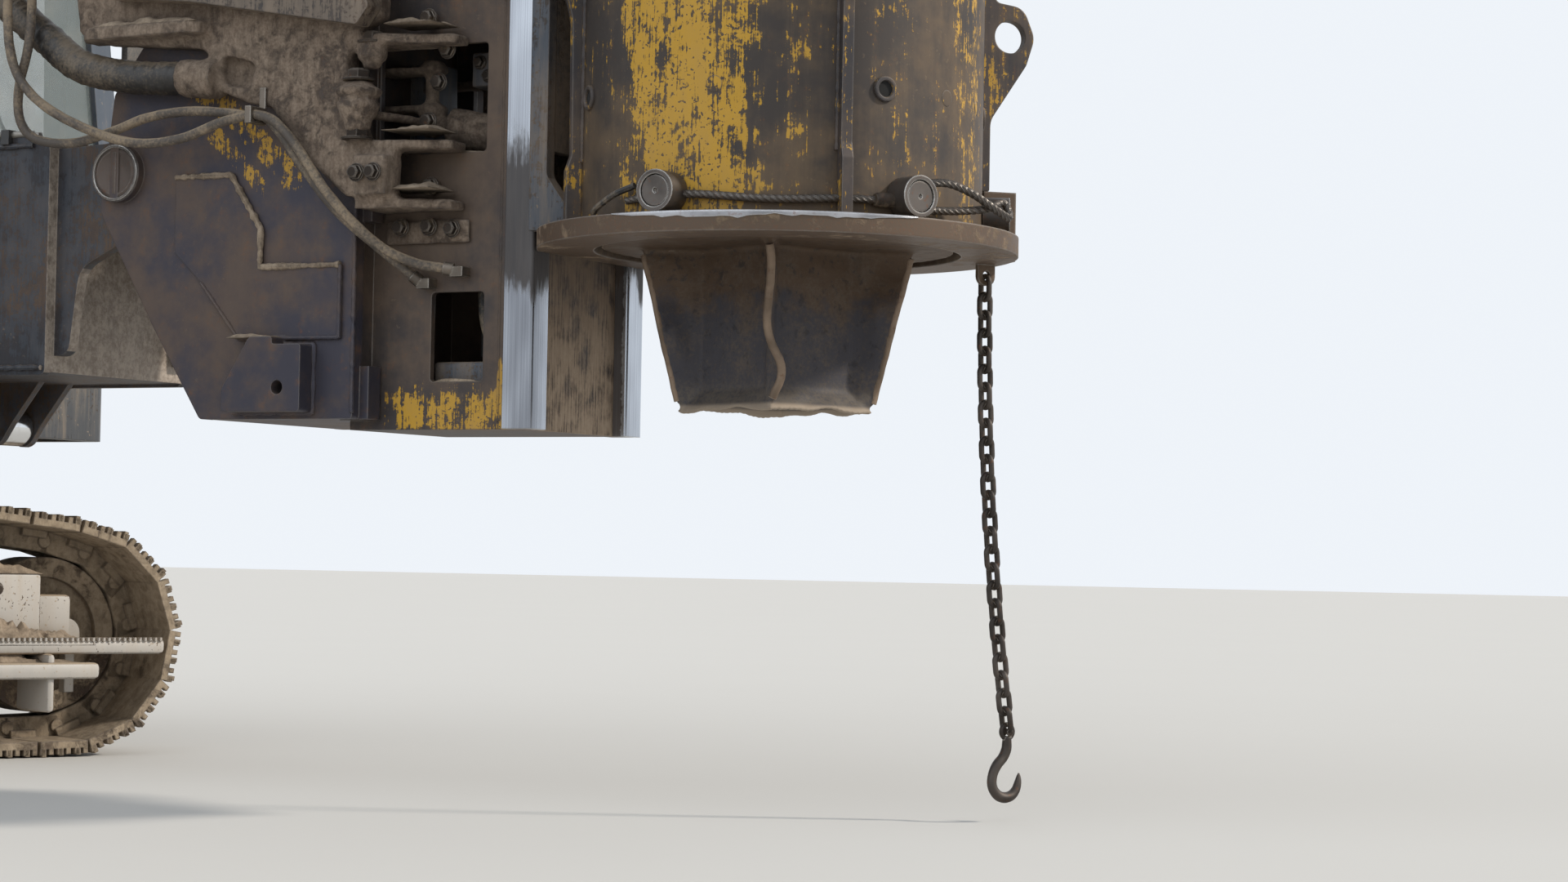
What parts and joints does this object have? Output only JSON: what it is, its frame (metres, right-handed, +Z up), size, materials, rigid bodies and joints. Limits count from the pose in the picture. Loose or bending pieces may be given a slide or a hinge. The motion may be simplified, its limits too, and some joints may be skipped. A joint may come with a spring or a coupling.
{
  "type": "hydraulic pile driving rig on tracks",
  "caption": "Tracked pile driver rig: slewing upper with cab, lifting arm, raking leader with polished rails, sliding hydraulic hammer, square driving helmet, chain and hook.",
  "frame": {"origin": "on the ground, at the middle of the outline of the rig as parked", "axes": "+X forward towards the pile, +Y to port, +Z up"},
  "size_m": [10.362, 5.5006, 16.696],
  "materials": {
    "frame_steel": "dark grey paint under dust and dried mud",
    "track_steel": "worn steel caked in beige mud",
    "wheel_steel": "worn steel with mud",
    "ring_steel": "greased machined steel",
    "house_paint": "dark blue-grey paint, dusty",
    "weight_iron": "dark blue-grey painted casting",
    "engine_iron": "oily dark iron",
    "exhaust_steel": "heat-stained steel",
    "window_glass": "dusty glass",
    "seat_fabric": "black woven cloth",
    "rail_paint": "yellow paint, worn",
    "lamp_plastic": "black lamp body with clear face",
    "arm_paint": "dark blue-grey paint, muddy",
    "barrel_paint": "dark grey paint",
    "rod_chrome": "polished chrome with an oil film",
    "bracket_steel": "brown-black steel with rust and mud",
    "casting_mud": "castings caked in brown mud",
    "leader_steel": "brown-black steel with a bluish sheen, rust and mud",
    "rail_steel": "bright polished slide face with oily streaks",
    "sheave_paint": "yellow paint worn to steel in the grooves",
    "hammer_yellow": "chrome-yellow paint scratched through to black-brown steel",
    "flange_steel": "brown steel with a polished rim",
    "ram_steel": "oiled forged steel",
    "helmet_steel": "blue-black cast steel with mud and pale worn edges",
    "hose_rubber": "dark grey rubber, dusty, scuffed brown",
    "sleeve_cloth": "black woven sleeve round a bundle of hoses",
    "gland_steel": "zinc-plated fittings under mud",
    "chain_steel": "dark brown steel"
  },
  "bodies": {
    "undercarriage": {"car_body": "frame_steel", "track_frames": "frame_steel", "track_rollers": "wheel_steel", "idlers": "wheel_steel", "sprockets": "wheel_steel", "track_left": "track_steel", "track_right": "track_steel", "slew_ring": "ring_steel"},
    "upper": {"deck": "frame_steel", "counterweight": "weight_iron", "engine_hood": "house_paint", "engine": "engine_iron", "exhaust": "exhaust_steel", "cab_shell": "house_paint", "cab_glass": "window_glass", "operator_seat": "seat_fabric", "tank_box": "house_paint", "handrails": "rail_paint", "work_lamps": "lamp_plastic"},
    "cab_door": {"cab_door": "house_paint", "door_glass": "window_glass"},
    "hood_door_port": {"hood_door_left": "house_paint"},
    "hood_door_starboard": {"hood_door_right": "house_paint"},
    "arm": {"arm": "arm_paint"},
    "lift_barrels": {"lift_barrels": "barrel_paint"},
    "lift_rods": {"lift_rods": "rod_chrome"},
    "leader": {"foot_bracket": "bracket_steel", "swivel_knuckles": "casting_mud", "hose_clamp": "gland_steel", "hose_front": "hose_rubber", "hose_rear": "hose_rubber", "hose_sleeved": "sleeve_cloth", "carriage_frame": "arm_paint", "leader_box": "leader_steel", "guide_rails": "rail_steel", "leader_head": "arm_paint", "head_sheaves": "sheave_paint", "winch_frame": "arm_paint"},
    "backstay_barrels": {"backstay_barrels": "barrel_paint"},
    "backstay_rods": {"backstay_rods": "rod_chrome"},
    "winch_drum_low": {"winch_drum_low": "sheave_paint"},
    "winch_drum_high": {"winch_drum_high": "sheave_paint"},
    "hammer": {"hammer_sleeve": "hammer_yellow", "hammer_flange": "flange_steel", "hammer_ribs": "hammer_yellow", "hammer_guides": "frame_steel", "hammer_upper": "hammer_yellow", "hammer_head": "house_paint", "sling_pins": "rail_steel", "chain": "chain_steel", "hook": "chain_steel"},
    "ram": {"hammer_ram": "ram_steel"},
    "helmet": {"helmet": "helmet_steel"}
  },
  "joints": [
    {"name": "slew", "type": "hinge", "parent": "undercarriage", "child": "upper", "pos_m": [-1.081, 0, 1.11], "axis": [0, 0, 1], "continuous": true},
    {"name": "cab_door_swing", "type": "hinge", "parent": "upper", "child": "cab_door", "pos_m": [-0.155, 1.543, 2.2], "axis": [0, 0, 1], "range_deg": [0, 90]},
    {"name": "hood_door_port_swing", "type": "hinge", "parent": "upper", "child": "hood_door_port", "pos_m": [-3.985, 1.373, 2], "axis": [0, 0, 1], "range_deg": [0, 110]},
    {"name": "hood_door_starboard_swing", "type": "hinge", "parent": "upper", "child": "hood_door_starboard", "pos_m": [-3.985, -1.373, 2], "axis": [0, 0, -1], "range_deg": [0, 110]},
    {"name": "arm_lift", "type": "hinge", "parent": "upper", "child": "arm", "pos_m": [0.169, 0, 1.64], "axis": [0, -1, 0], "range_deg": [0, 18]},
    {"name": "lift_barrel_turn", "type": "hinge", "parent": "upper", "child": "lift_barrels", "pos_m": [0.379, 0, 1.13], "axis": [0, -1, 0], "range_deg": [-0.06, 23]},
    {"name": "lift_rod_slide", "type": "slide", "parent": "lift_barrels", "child": "lift_rods", "axis": [0.9999, 0, -0.0161], "range_m": [-0.001, 0.1922]},
    {"name": "leader_tilt", "type": "hinge", "parent": "arm", "child": "leader", "pos_m": [2.509, 0, 1.83], "axis": [0, 1, 0], "range_deg": [-10, 5]},
    {"name": "backstay_barrel_turn", "type": "hinge", "parent": "arm", "child": "backstay_barrels", "pos_m": [0.249, 0, 2.42], "axis": [0, 1, 0], "range_deg": [-10.32, 5.19]},
    {"name": "backstay_rod_slide", "type": "slide", "parent": "backstay_barrels", "child": "backstay_rods", "axis": [0.5134, 0, 0.8582], "range_m": [-0.4541, 0.2275]},
    {"name": "hammer_slide", "type": "slide", "parent": "leader", "child": "hammer", "axis": [0, 0, 1], "range_m": [0, 9]},
    {"name": "ram_stroke", "type": "slide", "parent": "hammer", "child": "ram", "axis": [0, 0, 1], "range_m": [0, 1.2]},
    {"name": "helmet_turn", "type": "hinge", "parent": "hammer", "child": "helmet", "pos_m": [4.519, 0, 1.4], "axis": [0, 0, 1], "range_deg": [-45, 45]},
    {"name": "winch_low_spin", "type": "hinge", "parent": "leader", "child": "winch_drum_low", "pos_m": [2.919, 0, 3.5], "axis": [0, 1, 0], "continuous": true},
    {"name": "winch_high_spin", "type": "hinge", "parent": "leader", "child": "winch_drum_high", "pos_m": [2.919, 0, 4.62], "axis": [0, 1, 0], "continuous": true}
  ],
  "couplings": [
    {"joint": "lift_barrel_turn", "follows": "arm_lift", "ratio": 1.1085},
    {"joint": "lift_rod_slide", "follows": "arm_lift", "m_per_rad": 0.52934},
    {"joint": "backstay_barrel_turn", "follows": "leader_tilt", "ratio": 0.8924},
    {"joint": "backstay_rod_slide", "follows": "leader_tilt", "m_per_rad": 2.2572}
  ]
}
